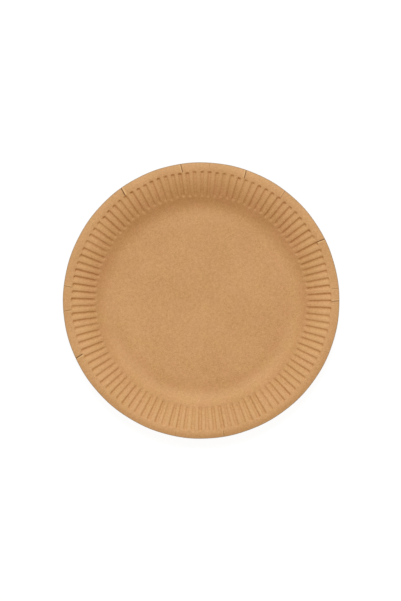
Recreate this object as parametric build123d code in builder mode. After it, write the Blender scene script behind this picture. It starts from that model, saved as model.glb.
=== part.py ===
from build123d import *

import os
from math import cos, degrees, radians, sin, tan

# Round kraft paper plate, 230 mm across, pressed hot from one disc of board.
#
# The board is one sheet of even thickness. Its floor is raised a little above a flat foot ring,
# the heel turns up in narrow flats into a straight sloping wall, and the wall turns over a crest
# of narrow flats into a lip that drops to the cut edge. The press folds the wall's spare board
# into flutes: each is a broad pocket in the food side and a rib on the back, and a narrow ridge
# of plain wall is left between neighbours. The lip is creased where it gathers still more board.
#
# Origin: the plate's centre, on the surface that the plate stands on. +Z is up.

# Driving dimensions, in millimetres and degrees
PLATE_RADIUS = 115.0
BOARD = 0.5

# The food face's section, from the floor out to the cut edge
FLOOR_RADIUS = 67.0
FLOOR_RISE = 0.6
FOOT_INNER_RADIUS = 73.0
FOOT_OUTER_RADIUS = 76.4
HEEL_SLOPES = (6.5, 13.0, 19.0)
HEEL_FLAT = 2.2
WALL_SLOPE = 25.0
WALL_OUTER_RADIUS = 108.2
CREST_SLOPES = (14.0, 3.0, -8.0)
CREST_FLAT = 1.2
LIP_SLOPE = -20.0

# Flutes, sunk into the wall's food face: their ends, and the share of each pitch that is sunk
FLUTE_COUNT = 108
FIRST_FLUTE_ANGLE = -0.5
FLUTE_INNER_RADIUS = 88.3
FLUTE_OUTER_RADIUS = 107.7
FLUTE_SHARE = 0.62
FLUTE_DEPTH = 0.85
FLANK_ANGLE = 40.0

# Creases pressed across the lip, each a shallow groove that deepens to the cut edge
CREASE_ANGLES = (0.0, 26.9, 52.4, 70.6, 98.2, 125.9, 174.1, 184.0, 204.2, 279.7)
CREASE_START = 0.3
CREASE_START_DEPTH = 0.1
CREASE_END_DEPTH = 0.3
CREASE_FLANK_ANGLE = 45.0

# How far a cutting solid stands out of the board, and how deep a rib's root lies in it
CUT_HEADROOM = 0.4
RIB_ROOT_DEPTH = 0.2

FLUTE_MIDDLE_RADIUS = (FLUTE_INNER_RADIUS + FLUTE_OUTER_RADIUS) / 2
WALL_INNER_RADIUS = FOOT_OUTER_RADIUS + HEEL_FLAT * sum(cos(radians(s)) for s in HEEL_SLOPES)
WALL_LENGTH = (WALL_OUTER_RADIUS - WALL_INNER_RADIUS) / cos(radians(WALL_SLOPE))
LIP_INNER_RADIUS = WALL_OUTER_RADIUS + CREST_FLAT * sum(cos(radians(s)) for s in CREST_SLOPES)
LIP_LENGTH = (PLATE_RADIUS - LIP_INNER_RADIUS) / cos(radians(LIP_SLOPE))

# The food face's section, one board's thickness given to it below, turned about the axis
with BuildPart() as plate:
    with BuildSketch(Plane.XZ):
        with BuildLine():
            floor = Line((0, BOARD + FLOOR_RISE), (FLOOR_RADIUS, BOARD + FLOOR_RISE))
            step = Line(floor @ 1, (FOOT_INNER_RADIUS, BOARD))
            foot = Line(step @ 1, (FOOT_OUTER_RADIUS, BOARD))
            bend = foot @ 1
            for slope in HEEL_SLOPES:
                bend = PolarLine(bend, HEEL_FLAT, slope) @ 1
            wall = PolarLine(bend, WALL_LENGTH, WALL_SLOPE)
            bend = wall @ 1
            for slope in CREST_SLOPES:
                bend = PolarLine(bend, CREST_FLAT, slope) @ 1
            lip = PolarLine(bend, LIP_LENGTH, LIP_SLOPE)
            offset(amount=BOARD, side=Side.RIGHT, closed=True, kind=Kind.INTERSECTION)
        make_face()
    revolve(axis=Axis.Z)


def face_plane(line):
    """Plane on the food face along a straight line of the section: x outwards, z off the face."""
    start, end = (Plane.XZ.from_local_coords(line @ position) for position in (0, 1))
    return Plane(start, x_dir=end - start, z_dir=(end - start).cross(Vector(0, 1, 0)))


def flute_corners(ceiling, wrap):
    """Corners of a flute's solid: its inner end is level, and its flanks spread from the axis.

    ceiling is the height of the solid's top above the wall. wrap is the thickness of the board
    that is kept round the hollow: none for the pocket itself, and one board's for the rib.
    """
    food_face = face_plane(wall)
    half_angle = 180 * FLUTE_SHARE / FLUTE_COUNT
    half_angle += degrees(wrap * tan(radians(FLANK_ANGLE / 2)) / FLUTE_MIDDLE_RADIUS)
    corners = []
    for height in (ceiling, -FLUTE_DEPTH - wrap):
        spread = (height + wrap) / tan(radians(FLANK_ANGLE))
        for end_radius, outwards, ramp_angle in (
            (FLUTE_INNER_RADIUS, -1, WALL_SLOPE),
            (FLUTE_OUTER_RADIUS, 1, FLANK_ANGLE),
        ):
            run = (end_radius - WALL_INNER_RADIUS) / cos(radians(WALL_SLOPE))
            ramp = height / tan(radians(ramp_angle)) + wrap / sin(radians(ramp_angle))
            for side in (-1, 1):
                corner = food_face.from_local_coords((run + outwards * ramp, side * spread, height))
                corners.append(corner.rotate(Axis.Z, side * half_angle))
    return corners


def crease_corners():
    """Corners of a crease's wedge: a V at each end, that stands out of the lip."""
    food_face = face_plane(lip)
    corners = []
    for run, depth in (
        (CREASE_START, CREASE_START_DEPTH),
        (LIP_LENGTH + CUT_HEADROOM, CREASE_END_DEPTH),
    ):
        half_width = (depth + CUT_HEADROOM) / tan(radians(CREASE_FLANK_ANGLE))
        for side, height in ((0, -depth), (half_width, CUT_HEADROOM), (-half_width, CUT_HEADROOM)):
            corners.append(food_face.from_local_coords((run, side, height)))
    return corners


with BuildPart() as rib:
    ConvexPolyhedron(flute_corners(-RIB_ROOT_DEPTH, BOARD))

with BuildPart() as pocket:
    ConvexPolyhedron(flute_corners(CUT_HEADROOM, 0))

with BuildPart() as crease:
    ConvexPolyhedron(crease_corners())

with plate:
    with PolarLocations(0, FLUTE_COUNT, FIRST_FLUTE_ANGLE):
        add(rib)
    with PolarLocations(0, FLUTE_COUNT, FIRST_FLUTE_ANGLE):
        add(pocket, mode=Mode.SUBTRACT)
    for angle in CREASE_ANGLES:
        with PolarLocations(0, 1, angle):
            add(crease, mode=Mode.SUBTRACT)

plate.part.label = "plate"
os.makedirs("parts", exist_ok=True)
export_step(plate.part, "parts/plate.step")
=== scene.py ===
"""Kraft paper plate: the visual model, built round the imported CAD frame.

The plate's own sizes are in millimetres and its angles in degrees. What is given to Blender is in
metres and radians.
"""

import math

import bpy
import numpy as np
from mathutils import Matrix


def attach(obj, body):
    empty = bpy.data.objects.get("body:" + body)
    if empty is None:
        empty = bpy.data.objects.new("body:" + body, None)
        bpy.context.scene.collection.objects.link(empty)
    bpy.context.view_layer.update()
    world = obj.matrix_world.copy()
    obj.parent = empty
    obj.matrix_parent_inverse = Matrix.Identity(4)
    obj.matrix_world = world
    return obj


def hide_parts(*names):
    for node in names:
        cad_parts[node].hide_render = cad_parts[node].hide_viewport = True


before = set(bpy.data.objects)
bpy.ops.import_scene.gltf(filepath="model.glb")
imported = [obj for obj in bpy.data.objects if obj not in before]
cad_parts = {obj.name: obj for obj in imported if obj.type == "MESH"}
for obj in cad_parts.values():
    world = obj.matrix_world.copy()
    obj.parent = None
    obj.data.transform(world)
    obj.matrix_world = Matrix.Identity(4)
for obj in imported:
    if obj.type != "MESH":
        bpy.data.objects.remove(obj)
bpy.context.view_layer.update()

MM = 0.001
SEED = 11

# The board, and its section: plan radius, and slope of the food face there. The floor's height is
# that of its food face, and the foot is lowest at the foot radius.
BOARD = 0.5
PLATE_RADIUS = 115.0
FLOOR_HEIGHT = 1.1
FOOT_RADIUS = 74.5
SECTION = (
    (0.0, 0.0), (65.4, 0.0), (66.8, -2.6), (68.2, -6.0), (71.6, -6.0), (73.0, -4.0), (74.6, 0.0),
    (76.6, 6.0), (78.3, 14.0), (80.0, 21.0), (81.7, 27.0), (83.5, 32.0), (86.0, 34.5), (88.0, 30.5),
    (91.6, 28.5), (95.0, 26.0), (98.3, 21.5), (101.6, 16.5), (105.0, 10.8), (107.5, 9.0),
    (109.0, 6.0), (110.0, 0.5), (111.0, -8.0), (112.0, -15.0), (113.3, -20.0), (115.0, -24.0),
)
SECTION_STEP = 0.05
SECTION_SOFTNESS = 1.0

# Flutes: a run is the length of an end's ramp, and an arch is how far that end curves inwards.
# Widths and shifts are shares of one pitch, and the jitter in depth is a share of the depth.
FLUTE_COUNT = 108
FLUTE_PITCH = 360 / FLUTE_COUNT
FIRST_FLUTE = -0.47
FLUTE_INNER_RADIUS = 87.6
FLUTE_OUTER_RADIUS = 108.2
FLUTE_INNER_RUN = 1.7
FLUTE_OUTER_RUN = 1.3
FLUTE_INNER_ARCH = 0.3
FLUTE_OUTER_ARCH = 0.6
FLUTE_INNER_DEPTH = 0.90
FLUTE_OUTER_DEPTH = 1.42
FLUTE_HALF_WIDTH = 0.355
FLUTE_FLANK = 0.285
FLUTE_JITTER = {"depth": 0.14, "shift": 0.028, "inner": 0.34, "outer": 0.22}
JITTER_LIMIT = 1.6

# Creases of the lip: angle round the plate, start radius, slant in degrees, depth, half width
CREASES = (
    (204.2, 107.4, 0.55, 0.40, 0.40), (125.9, 107.4, -0.50, 0.40, 0.40),
    (98.2, 107.6, 0.45, 0.34, 0.34), (70.6, 107.6, 0.40, 0.34, 0.34),
    (26.9, 107.2, -0.35, 0.38, 0.38), (359.6, 107.6, 0.40, 0.28, 0.30),
    (184.0, 107.4, 0.45, 0.24, 0.26), (174.1, 107.4, -0.40, 0.24, 0.26),
    (52.4, 107.8, 0.30, 0.22, 0.24), (279.7, 108.0, -0.30, 0.18, 0.24),
    (337.6, 109.6, 0.25, 0.13, 0.20), (259.0, 109.0, 0.30, 0.11, 0.22),
    (239.8, 109.2, -0.30, 0.11, 0.20), (223.0, 109.0, 0.30, 0.12, 0.22),
    (144.7, 109.2, -0.25, 0.12, 0.20), (86.4, 110.0, 0.20, 0.12, 0.18),
    (5.2, 108.6, -0.25, 0.20, 0.24), (314.0, 111.0, 0.15, 0.10, 0.18),
)
CREASE_FADE = 1.2
CREASE_FULL_DEPTH = 0.3
CREASE_SLANT_WIDTH = 1.1

# The lap raised beside each crease: its height as a share of the depth, the rest in half widths
LAP_SHARE = 0.60
LAP_OFFSET = 2.4
LAP_WIDTH = 1.7

# Slow warps of the sheet: size, the radii where it sets in and is full, and waves round the plate
RIM_LIFT = (0.16, 96.0, 115.0, (2, 3, 4, 5, 7))
WALL_LIFT = (0.05, 78.0, 90.0, (6, 9, 11, 14))
RIM_STRETCH = (0.12, 96.0, 115.0, (3, 5, 8, 13, 21))

# The disc was cut a little off the middle of its form: how far, towards +Y, and from what radius
CUT_SHIFT = 0.65
CUT_SHIFT_START = 108.4

# Painted shade and light by radius: radius, and a value below 0 if darker (painted shade at the foot and
# low on the wall), above if paler (painted light at the heel and towards the rim)
PAINTED_SHADING_BY_RADIUS = ((66.0, 0.0), (72.0, -0.03), (78.0, 0.02), (83.0, 0.09), (85.0, 0.0), (88.0, -0.17),
         (90.5, -0.10), (95.0, 0.0), (101.6, 0.11), (105.0, 0.15), (110.0, 0.08), (115.0, 0.13))
# Painted light: how much paler the flute ridges and the laps beside the creases are painted
RIDGE_PAINTED_LIGHT = 0.11
LAP_PAINTED_LIGHT = 0.75
# A dark band of painted shade runs along the rim's edge from this radius
EDGE_SHADE_START = 114.1

# Grid: radii of the rings, columns of a flute as shares of its pitch, columns of a crease in degrees
FLOOR_COLUMNS = 180
FLOOR_RINGS = (6, 14, 24, 34, 44, 52, 59, 63, 65.2, 66.4, 67.4, 68.6, 70.2, 71.8, 73.0, 74.2,
               75.4, 76.6, 77.8)
FOOD_RINGS = (79.0, 80.4, 82, 83.6, 85.2, 86.6, 87.6, 88.3, 89, 89.8, 90.8, 92.4, 94.6, 97, 99.4,
              101.6, 103.4, 104.8, 105.8, 106.5, 107.0, 107.4, 107.8, 108.2, 108.7, 109.3, 110,
              110.8, 111.6, 112.4, 113.2, 113.9, 114.4, 114.8)
BACK_RINGS = (79.0, 81, 83.6, 86, 87.6, 88.6, 89.6, 91, 94, 97.5, 101, 104, 106, 107, 107.7, 108.3,
              109.2, 110.2, 111.4, 112.6, 113.8, 114.7)
FOOD_COLUMNS = (-0.5, -0.42, -0.36, -0.30, -0.235, -0.165, -0.085, 0.0, 0.085, 0.165, 0.235, 0.30,
                0.36, 0.42)
BACK_COLUMNS = (-0.5, -0.38, -0.28, -0.18, -0.07, 0.07, 0.18, 0.28, 0.38)
CREASE_COLUMNS = (-0.42, -0.26, -0.15, -0.07, 0.0, 0.07, 0.15, 0.26, 0.42)
CREASE_CLEARANCE = 0.05

# Depths of the cut edge's rings below the food face, and the angle from which an edge is sharp
EDGE_DEPTHS = (0.0, 0.17, 0.33)
SHARP_ANGLE = 55.0


def smooth(value):
    """Eased step from 0 to 1, level at both ends."""
    value = np.clip(value, 0.0, 1.0)
    return value * value * (3.0 - 2.0 * value)


def waves(degrees, seed, harmonics):
    """Slow random waves round the plate, about 1 high."""
    draws = np.random.default_rng(seed)
    turn = np.radians(degrees)
    total = np.zeros_like(turn)
    for harmonic in harmonics:
        total += draws.normal() * np.cos(harmonic * turn + draws.uniform(0, 2 * math.pi))
    return total / math.sqrt(len(harmonics))


def warp(radius, degrees, seed, size, start, full, harmonics):
    """A slow warp of the sheet, in millimetres."""
    return size * smooth((radius - start) / (full - start)) * waves(degrees, seed, harmonics)


def section_tables():
    """Radius, height and slope of the food face without flutes, in millimetres and radians."""
    radii = np.arange(0.0, PLATE_RADIUS + SECTION_STEP / 2, SECTION_STEP)
    slope = np.radians(np.interp(radii, *zip(*SECTION)))
    taps = int(SECTION_SOFTNESS / SECTION_STEP)
    padded = np.pad(slope, taps, mode="edge")
    slope = np.convolve(padded, np.ones(2 * taps + 1) / (2 * taps + 1), mode="valid")
    rise = np.tan(slope)
    height = np.concatenate(([0.0], np.cumsum((rise[1:] + rise[:-1]) / 2 * SECTION_STEP)))
    foot = height.min()
    floor_height = BOARD + (FLOOR_HEIGHT - BOARD) * (height - foot) / -foot
    wall_height = BOARD + height - foot
    return radii, np.where(radii < FOOT_RADIUS, floor_height, wall_height), slope


SECTION_RADII, SECTION_HEIGHTS, SECTION_ANGLES = section_tables()
draws = np.random.default_rng(SEED)
JITTERS = {key: size * np.clip(draws.normal(size=FLUTE_COUNT), -JITTER_LIMIT, JITTER_LIMIT)
           for key, size in FLUTE_JITTER.items()}


def flutes(radius, degrees):
    """How far the flutes are sunk below the plain wall, and how much of a ridge is between them, which
    is painted paler as painted light.
    """
    phase = (degrees - FIRST_FLUTE) / FLUTE_PITCH
    nearest = np.round(phase).astype(int)
    which = nearest % FLUTE_COUNT
    off = np.abs(phase - nearest - JITTERS["shift"][which])
    across = smooth((FLUTE_HALF_WIDTH - off) / FLUTE_FLANK)
    arch = (off / FLUTE_HALF_WIDTH) ** 2
    outer_end = FLUTE_OUTER_RADIUS + JITTERS["outer"][which] - FLUTE_OUTER_ARCH * arch
    inner_end = FLUTE_INNER_RADIUS + JITTERS["inner"][which] + FLUTE_INNER_ARCH * arch
    along = smooth((outer_end - radius) / FLUTE_OUTER_RUN)
    along = along * smooth((radius - inner_end) / FLUTE_INNER_RUN)
    depth = np.interp(radius, (FLUTE_INNER_RADIUS, FLUTE_OUTER_RADIUS),
                      (FLUTE_INNER_DEPTH, FLUTE_OUTER_DEPTH))
    return depth * (1 + JITTERS["depth"][which]) * across * along, (1 - across) * along


def turn_from(degrees, centre):
    """Signed angle from a crease, in degrees."""
    return (degrees - centre + 180.0) % 360.0 - 180.0


def creases(radius, degrees):
    """Depth of each crease's groove less its raised lap, the painted shade in each groove and the
    painted light on each lap, and the slant.
    """
    depth, crease_shade, lap_painted_light, slant = (np.zeros(np.broadcast(radius, degrees).shape) for _ in range(4))
    for centre, start, lean, sink, half_width in CREASES:
        turn = turn_from(degrees, centre)
        grow = smooth((radius - start) / CREASE_FADE)
        across = np.radians(turn) * radius / half_width
        groove = np.exp(-across ** 2) * grow
        lap = np.exp(-((across - math.copysign(LAP_OFFSET, lean)) / LAP_WIDTH) ** 2) * grow
        depth += sink * (groove - LAP_SHARE * lap)
        crease_shade += groove * sink / CREASE_FULL_DEPTH
        lap_painted_light += lap * sink / CREASE_FULL_DEPTH
        reach = np.clip((radius - start) / (PLATE_RADIUS - start), 0.0, 1.0)
        slant += lean * reach * np.exp(-(turn / CREASE_SLANT_WIDTH) ** 2)
    return depth, crease_shade, lap_painted_light, slant


def sheet_point(radius, degrees, below):
    """Points of the sheet at a depth below its food face, the painted shade of the creases, and the
    painted shade and light over the board.
    """
    radius, degrees = np.broadcast_arrays(np.asarray(radius, float), degrees)
    height = np.interp(radius, SECTION_RADII, SECTION_HEIGHTS)
    angle = np.interp(radius, SECTION_RADII, SECTION_ANGLES)
    depth, crease_shade, lap_painted_light, slant = creases(radius, degrees)
    dip, ridge = flutes(radius, degrees)
    sink = dip + depth + below
    # Painted shade and light: by radius, and paler on the flute ridges and on the laps beside the
    # creases
    tone = np.interp(radius, *zip(*PAINTED_SHADING_BY_RADIUS)) + RIDGE_PAINTED_LIGHT * ridge + LAP_PAINTED_LIGHT * lap_painted_light
    lift = warp(radius, degrees, SEED + 1, *RIM_LIFT) + warp(radius, degrees, SEED + 2, *WALL_LIFT)
    lip = smooth((radius - CUT_SHIFT_START) / (PLATE_RADIUS - CUT_SHIFT_START))
    stretch = warp(radius, degrees, SEED + 3, *RIM_STRETCH)
    stretch = stretch + CUT_SHIFT * lip * np.sin(np.radians(degrees))
    out = radius + sink * np.sin(angle) + stretch
    up = height - sink * np.cos(angle) + lift
    turn = np.radians(degrees + slant)
    points = np.stack((out * np.cos(turn), out * np.sin(turn), up), axis=-1) * MM
    return points, crease_shade, tone


def columns(shares):
    """Angles of the grid's columns over the fluted wall, with more of them at each crease."""
    middles = FIRST_FLUTE + FLUTE_PITCH * np.arange(FLUTE_COUNT)
    angles = (middles[:, None] + FLUTE_PITCH * np.array(shares)).ravel() % 360.0
    for centre, *_ in CREASES:
        extra = (centre + np.array(CREASE_COLUMNS)) % 360.0
        near = np.abs(turn_from(angles, centre)) < CREASE_COLUMNS[-1] + CREASE_CLEARANCE
        angles = np.concatenate((angles[~near], extra))
    return np.sort(angles)


class Grid:
    """Rings of points, and the faces that join each ring to the next."""

    def __init__(self):
        self.points, self.faces = [], []
        # Per point: painted shade in the creases, painted shade and light over the board, and painted
        # shade at the rim's edge
        self.crease, self.tone, self.cut = [], [], []
        self.count = 0

    def ring(self, radius, degrees, below):
        """One ring of points. Returns its first point's number and its angles."""
        points, crease_shade, tone = sheet_point(radius, degrees, below)
        first = self.count
        self.points.append(points)
        self.crease.append(crease_shade)
        self.tone.append(tone)
        # Painted shade: a dark band along the rim's edge
        cut = smooth((radius - EDGE_SHADE_START) / (PLATE_RADIUS - EDGE_SHADE_START))
        self.cut.append(np.full(len(points), cut))
        self.count += len(points)
        return first, degrees

    def join(self, inner, outer, upwards):
        """Faces between two rings: quads where their angles agree, else a zip of triangles."""
        (start_in, angles_in), (start_out, angles_out) = inner, outer
        count_in, count_out = len(angles_in), len(angles_out)
        faces = []
        if count_in == count_out:
            for i in range(count_in):
                j = (i + 1) % count_in
                faces.append((start_in + i, start_out + i, start_out + j, start_in + j))
        else:
            ends_in = np.append(angles_in[1:], angles_in[0] + 360.0)
            ends_out = np.append(angles_out[1:], angles_out[0] + 360.0)
            i = j = 0
            while i < count_in or j < count_out:
                edge = (start_in + i % count_in, start_out + j % count_out)
                if j == count_out or (i < count_in and ends_in[i] < ends_out[j]):
                    i += 1
                    faces.append((*edge, start_in + i % count_in))
                else:
                    j += 1
                    faces.append((*edge, start_out + j % count_out))
        self.faces += faces if upwards else [face[::-1] for face in faces]

    def rings(self, last, radii, angles, below, upwards):
        """More rings, each joined to the one before. Returns the last of them."""
        for radius in radii:
            ring = self.ring(radius, angles, below)
            self.join(last, ring, upwards)
            last = ring
        return last

    def disc(self, below, upwards):
        """The floor, from one point at the centre out to the heel. Returns its last ring."""
        centre = self.count
        self.points.append(np.array([[0.0, 0.0, (FLOOR_HEIGHT - below) * MM]]))
        for layer in (self.crease, self.tone, self.cut):
            layer.append(np.zeros(1))
        self.count += 1
        angles = np.arange(FLOOR_COLUMNS) * 360.0 / FLOOR_COLUMNS
        first = self.ring(FLOOR_RINGS[0], angles, below)
        for i in range(FLOOR_COLUMNS):
            face = (centre, first[0] + i, first[0] + (i + 1) % FLOOR_COLUMNS)
            self.faces.append(face if upwards else face[::-1])
        return self.rings(first, FLOOR_RINGS[1:], angles, below, upwards)


def plate_mesh():
    """The whole plate as one closed skin: food face, cut edge and back."""
    grid = Grid()
    food_angles, back_angles = columns(FOOD_COLUMNS), columns(BACK_COLUMNS)
    food = grid.rings(grid.disc(0.0, True), FOOD_RINGS, food_angles, 0.0, True)
    for below in EDGE_DEPTHS:
        edge = grid.ring(PLATE_RADIUS, food_angles, below)
        grid.join(food, edge, True)
        food = edge
    back = grid.rings(grid.disc(BOARD, False), BACK_RINGS, back_angles, BOARD, False)
    edge = grid.ring(PLATE_RADIUS, back_angles, BOARD)
    grid.join(back, edge, False)
    grid.join(food, edge, True)

    mesh = bpy.data.meshes.new("plate_board")
    mesh.from_pydata(np.concatenate(grid.points).tolist(), [], grid.faces)
    for name, values in (("crease", grid.crease), ("tone", grid.tone), ("cut", grid.cut)):
        layer = mesh.attributes.new(name, "FLOAT", "POINT")
        layer.data.foreach_set("value", np.concatenate(values).astype(np.float32))
    mesh.validate()
    mesh.shade_smooth()
    mesh.set_sharp_from_angle(angle=math.radians(SHARP_ANGLE))
    return mesh


class Nodes:
    """Short calls for the node tree of a material or the world."""

    def __init__(self, owner):
        owner.use_nodes = True
        self.tree = owner.node_tree
        self.tree.nodes.clear()

    def put(self, socket, value):
        """Links another node's output to a socket, or sets the socket's own value."""
        if isinstance(value, bpy.types.NodeSocket):
            self.tree.links.new(value, socket)
        else:
            socket.default_value = value

    def add(self, kind, inputs=(), **settings):
        """A new node, with its settings and its inputs."""
        node = self.tree.nodes.new(kind)
        for key, value in settings.items():
            setattr(node, key, value)
        for key, value in dict(inputs).items():
            self.put(node.inputs[key], value)
        return node

    def output(self, kind, shader):
        """The tree's output, which shows a shader."""
        self.add(kind, {"Surface": shader.outputs[0]})

    def math(self, operation, first, second, clamp=False):
        return self.add("ShaderNodeMath", {0: first, 1: second}, operation=operation,
                        use_clamp=clamp).outputs[0]

    def share(self, value, scale):
        """A value times a scale, held between 0 and 1."""
        return self.math("MULTIPLY", value, scale, clamp=True)

    def weighted(self, *terms):
        """The sum of some values, each times its weight."""
        total = 0.0
        for value, weight in terms:
            total = self.math("ADD", total, self.math("MULTIPLY", value, weight))
        return total

    def ramp(self, value, start, end, low=0.0, high=1.0):
        """Eased change from low to high as the value goes from start to end."""
        return self.add("ShaderNodeMapRange", {"Value": value, "From Min": start, "From Max": end,
                                               "To Min": low, "To Max": high},
                        interpolation_type="SMOOTHSTEP").outputs["Result"]

    def noise(self, vector, scale, detail, roughness=0.5, distortion=0.0):
        return self.add("ShaderNodeTexNoise", {"Vector": vector, "Scale": scale, "Detail": detail,
                                               "Roughness": roughness, "Distortion": distortion}
                        ).outputs["Fac"]

    def mapped(self, vector, scale, turn=0.0):
        return self.add("ShaderNodeMapping", {"Vector": vector, "Rotation": (0.0, 0.0, turn),
                                              "Scale": scale}).outputs["Vector"]

    def attribute(self, name):
        return self.add("ShaderNodeAttribute", attribute_name=name).outputs["Fac"]

    def mix(self, factor, first, second):
        """Colour between two others. The numbers are the Mix node's sockets for colour."""
        node = self.add("ShaderNodeMix", data_type="RGBA")
        for index, value in ((0, factor), (6, first), (7, second)):
            self.put(node.inputs[index], value)
        return node.outputs[2]


# Colours of the board and of its painted shade and light, and how far the painted shade of the creases
# and the cut edge covers it
KRAFT = (0.568, 0.295, 0.121, 1.0)
KRAFT_DARK = (0.445, 0.220, 0.080, 1.0)
KRAFT_LIGHT = (0.685, 0.388, 0.176, 1.0)
KRAFT_YELLOW = (0.561, 0.302, 0.114, 1.0)
# Painted shade at the foot and low on the wall, and painted light at the heel, the rim, the flute ridges
# and the crease laps
PAINTED_SHADE_KRAFT = (0.410, 0.182, 0.062, 1.0)
PAINTED_LIGHT_KRAFT = (0.740, 0.440, 0.195, 1.0)
# Painted shade in the creases
CREASE_PAINTED_SHADE = (0.150, 0.064, 0.021, 1.0)
# Painted shade: a dark band along the rim's cut edge
EDGE_PAINTED_SHADE = (0.300, 0.224, 0.152, 1.0)
CREASE_SHADE_COVER = 0.85
EDGE_SHADE_COVER = 0.80

# Pulp: scales per metre and weights of its noises, and where its darker and lighter parts set in.
# The clouds are mirrored in X.
CLOUD_SCALE = (-24.0, 24.0, 24.0)
CLOUD_WEIGHT = 0.13
MOTTLE_SCALE = 520.0
MOTTLE_ROUGHNESS = 0.6
MOTTLE_WEIGHT = 0.29
GRAIN_SCALE = 1700.0
GRAIN_ROUGHNESS = 0.65
GRAIN_WEIGHT = 0.58
DARK_RANGE = (0.36, 0.50)
LIGHT_RANGE = (0.50, 0.66)
YELLOW_SCALE = 70.0
YELLOW_RANGE = (0.38, 0.64)

# Fibres: turn in radians and shift in metres of each layer, and pale specks between them
FIBRE_LAYERS = ((0.35, 0.0), (1.5, 3.1), (2.6, 7.7))
FIBRE_SCALE = (260.0, 2600.0, 1400.0)
FIBRE_BEND = 0.6
FIBRE_RANGE = (0.68, 0.82)
FIBRE_COVER = 0.35
SPECK_SCALE = (420.0, 1900.0, 1500.0)
SPECK_RANGE = (0.73, 0.82)
SPECK_COVER = 0.5

# Surface: weights of the noises in its relief, and its gloss
MOTTLE_RELIEF, GRAIN_RELIEF, FIBRE_RELIEF = 0.6, 0.5, 0.35
BUMP_STRENGTH = 0.35
BUMP_HEIGHT = 0.08
MOTTLE_RANGE = (0.3, 0.7)
ROUGHNESS = (0.60, 0.74)
SPECULAR = 0.28
REFRACTION = 1.45


def pulp(nodes, place):
    """Clouded brown of the pulp, and the mottle and grain that make it up."""
    cloud = nodes.noise(nodes.mapped(place, CLOUD_SCALE), 1.0, detail=1.0)
    mottle = nodes.noise(place, MOTTLE_SCALE, detail=2.0, roughness=MOTTLE_ROUGHNESS)
    grain = nodes.noise(place, GRAIN_SCALE, detail=2.0, roughness=GRAIN_ROUGHNESS)
    tint = nodes.noise(place, YELLOW_SCALE, detail=0.0)
    shade = nodes.weighted((cloud, CLOUD_WEIGHT), (mottle, MOTTLE_WEIGHT), (grain, GRAIN_WEIGHT))
    colour = nodes.mix(nodes.ramp(tint, *YELLOW_RANGE), KRAFT, KRAFT_YELLOW)
    colour = nodes.mix(nodes.ramp(shade, *DARK_RANGE), KRAFT_DARK, colour)
    colour = nodes.mix(nodes.ramp(shade, *LIGHT_RANGE), colour, KRAFT_LIGHT)
    return colour, mottle, grain


def strands(nodes, place):
    """Long thin fibres in the surface, in layers that lie in different directions."""
    fibres = 0.0
    for turn, shift in FIBRE_LAYERS:
        shifted = nodes.add("ShaderNodeVectorMath", {0: place, 1: (shift, shift, 0.0)},
                            operation="ADD").outputs[0]
        stretched = nodes.mapped(shifted, FIBRE_SCALE, turn)
        strand = nodes.noise(stretched, 1.0, detail=1.0, distortion=FIBRE_BEND)
        fibres = nodes.math("MAXIMUM", fibres, strand)
    return fibres


def paint_shade_and_light(nodes, colour):
    """The colour with painted shade and light over it, and painted shade at the cut edge and in the
    creases.
    """
    tone = nodes.attribute("tone")
    colour = nodes.mix(nodes.share(tone, -1.0), colour, PAINTED_SHADE_KRAFT)
    colour = nodes.mix(nodes.share(tone, 1.0), colour, PAINTED_LIGHT_KRAFT)
    colour = nodes.mix(nodes.share(nodes.attribute("cut"), EDGE_SHADE_COVER), colour, EDGE_PAINTED_SHADE)
    return nodes.mix(nodes.share(nodes.attribute("crease"), CREASE_SHADE_COVER), colour, CREASE_PAINTED_SHADE)


def kraft_material():
    """Natural kraft board: clouded brown pulp with light and dark fibres embedded in it, under painted
    shade and light.
    """
    material = bpy.data.materials.new("kraft_board")
    nodes = Nodes(material)
    place = nodes.add("ShaderNodeTexCoord").outputs["Object"]
    colour, mottle, grain = pulp(nodes, place)
    fibres = strands(nodes, place)
    colour = nodes.mix(nodes.ramp(fibres, *FIBRE_RANGE, 0.0, FIBRE_COVER), colour, KRAFT_DARK)
    speck = nodes.noise(nodes.mapped(place, SPECK_SCALE), 1.0, detail=0.0)
    colour = nodes.mix(nodes.ramp(speck, *SPECK_RANGE, 0.0, SPECK_COVER), colour, KRAFT_LIGHT)
    relief = nodes.weighted((mottle, MOTTLE_RELIEF), (grain, GRAIN_RELIEF), (fibres, FIBRE_RELIEF))
    bump = nodes.add("ShaderNodeBump", {
        "Height": relief, "Strength": BUMP_STRENGTH, "Distance": BUMP_HEIGHT * MM})
    shader = nodes.add("ShaderNodeBsdfPrincipled", {
        "Base Color": paint_shade_and_light(nodes, colour), "Roughness": nodes.ramp(mottle, *MOTTLE_RANGE, *ROUGHNESS),
        "Normal": bump.outputs["Normal"], "Specular IOR Level": SPECULAR, "IOR": REFRACTION})
    nodes.output("ShaderNodeOutputMaterial", shader)
    return material


# Light: on a level face the world's share and the lamp's share of white add up to 1
WORLD_SHARE = 0.48
WORLD_COLOUR = (1.19, 0.98, 0.78)
SUN_SHARE = 0.52
SUN_ELEVATION = 52.0
SUN_TURN = 4.0
SUN_SOFTNESS = 24.0

# Floor: half its side in metres, its own pale colour, and the glow that makes it read white
FLOOR_HALF_SIZE = 3.0
FLOOR_PALE = (0.82, 0.82, 0.82, 1.0)
FLOOR_GLOW_SHARE = 0.90
FLOOR_GLOW_STRENGTH = 1.05
WHITE = (1.0, 1.0, 1.0, 1.0)


def add_object(name, data):
    """A new object in the scene."""
    thing = bpy.data.objects.new(name, data)
    bpy.context.scene.collection.objects.link(thing)
    return thing


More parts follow.
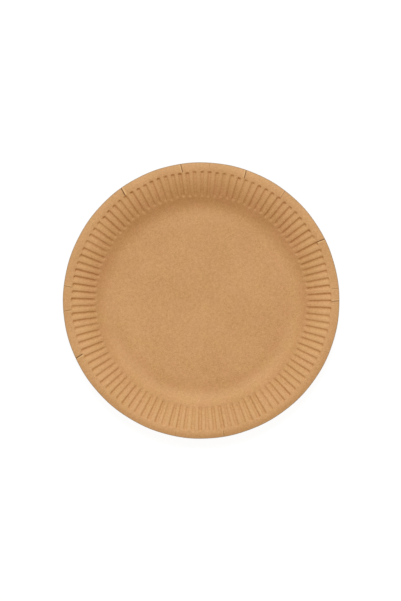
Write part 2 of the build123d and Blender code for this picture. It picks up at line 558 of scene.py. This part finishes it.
def seen_directly(nodes):
    """1 for a ray from the camera, or one that a surface mirrors or lets through to it."""
    path = nodes.add("ShaderNodeLightPath")
    seen = nodes.math("MAXIMUM", path.outputs["Is Camera Ray"], path.outputs["Is Glossy Ray"])
    return nodes.math("MAXIMUM", seen, path.outputs["Is Transmission Ray"])


def make_floor():
    """A plain pale floor that reads white and keeps a soft shadow."""
    half = FLOOR_HALF_SIZE
    mesh = bpy.data.meshes.new("floor")
    mesh.from_pydata([(-half, -half, 0), (half, -half, 0), (half, half, 0), (-half, half, 0)], [],
                     [(0, 1, 2, 3)])
    material = bpy.data.materials.new("floor_white")
    nodes = Nodes(material)
    pale = nodes.add("ShaderNodeBsdfDiffuse", {"Color": FLOOR_PALE})
    glow = nodes.add("ShaderNodeEmission", {"Color": WHITE, "Strength": FLOOR_GLOW_STRENGTH})
    share = nodes.math("MULTIPLY", seen_directly(nodes), FLOOR_GLOW_SHARE)
    mixed = nodes.add("ShaderNodeMixShader", {0: share, 1: pale.outputs[0], 2: glow.outputs[0]})
    nodes.output("ShaderNodeOutputMaterial", mixed)
    mesh.materials.append(material)
    floor = add_object("floor", mesh)


def make_world():
    """Even, faintly warm studio light from all round, white where it is seen directly."""
    world = bpy.data.worlds.new("studio")
    bpy.context.scene.world = world
    nodes = Nodes(world)
    warm = tuple(WORLD_SHARE * part for part in WORLD_COLOUR) + (1.0,)
    colour = nodes.mix(seen_directly(nodes), warm, WHITE)
    light = nodes.add("ShaderNodeBackground", {"Color": colour, "Strength": 1.0})
    nodes.output("ShaderNodeOutputWorld", light)


def make_sun():
    """One broad soft light from behind the plate, high up, of the colour that the world's lacks."""
    lamp = bpy.data.lights.new("key", "SUN")
    lamp.energy = SUN_SHARE * math.pi / math.sin(math.radians(SUN_ELEVATION))
    lamp.color = [(1.0 - WORLD_SHARE * part) / SUN_SHARE for part in WORLD_COLOUR]
    lamp.angle = math.radians(SUN_SOFTNESS)
    sun = add_object("key", lamp)
    sun.rotation_euler = (math.radians(SUN_ELEVATION - 90.0), 0.0, math.radians(SUN_TURN))


# Camera: places in metres, and the plate's width and the picture's height in pixels
CAMERA_DISTANCE = 1.2
CAMERA_ELEVATION = 88.0
CAMERA_AIM = (-0.62 * MM, 0.25 * MM, 12.6 * MM)
CAMERA_CLIP = (0.05, 20.0)
PLATE_PIXELS = 276.6
PICTURE_PIXELS = 601
SENSOR = 36.0


def make_camera():
    """Straight down but for two degrees, with the plate as large as in the photograph."""
    camera = bpy.data.cameras.new("camera")
    camera.sensor_fit = "VERTICAL"
    camera.sensor_height = SENSOR
    camera.lens = SENSOR * CAMERA_DISTANCE * PLATE_PIXELS / PICTURE_PIXELS / (2 * PLATE_RADIUS * MM)
    camera.clip_start, camera.clip_end = CAMERA_CLIP
    viewer = add_object("camera", camera)
    tilt = math.radians(90.0 - CAMERA_ELEVATION)
    x, y, z = CAMERA_AIM
    viewer.location = (x, y - CAMERA_DISTANCE * math.sin(tilt), z + CAMERA_DISTANCE * math.cos(tilt))
    viewer.rotation_euler = (tilt, 0.0, 0.0)
    bpy.context.scene.camera = viewer


plate = add_object("plate_board", plate_mesh())
plate.data.materials.append(kraft_material())
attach(plate, "root")
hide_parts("plate")

make_floor()
make_world()
make_sun()
make_camera()
bpy.context.scene.view_settings.view_transform = "Standard"
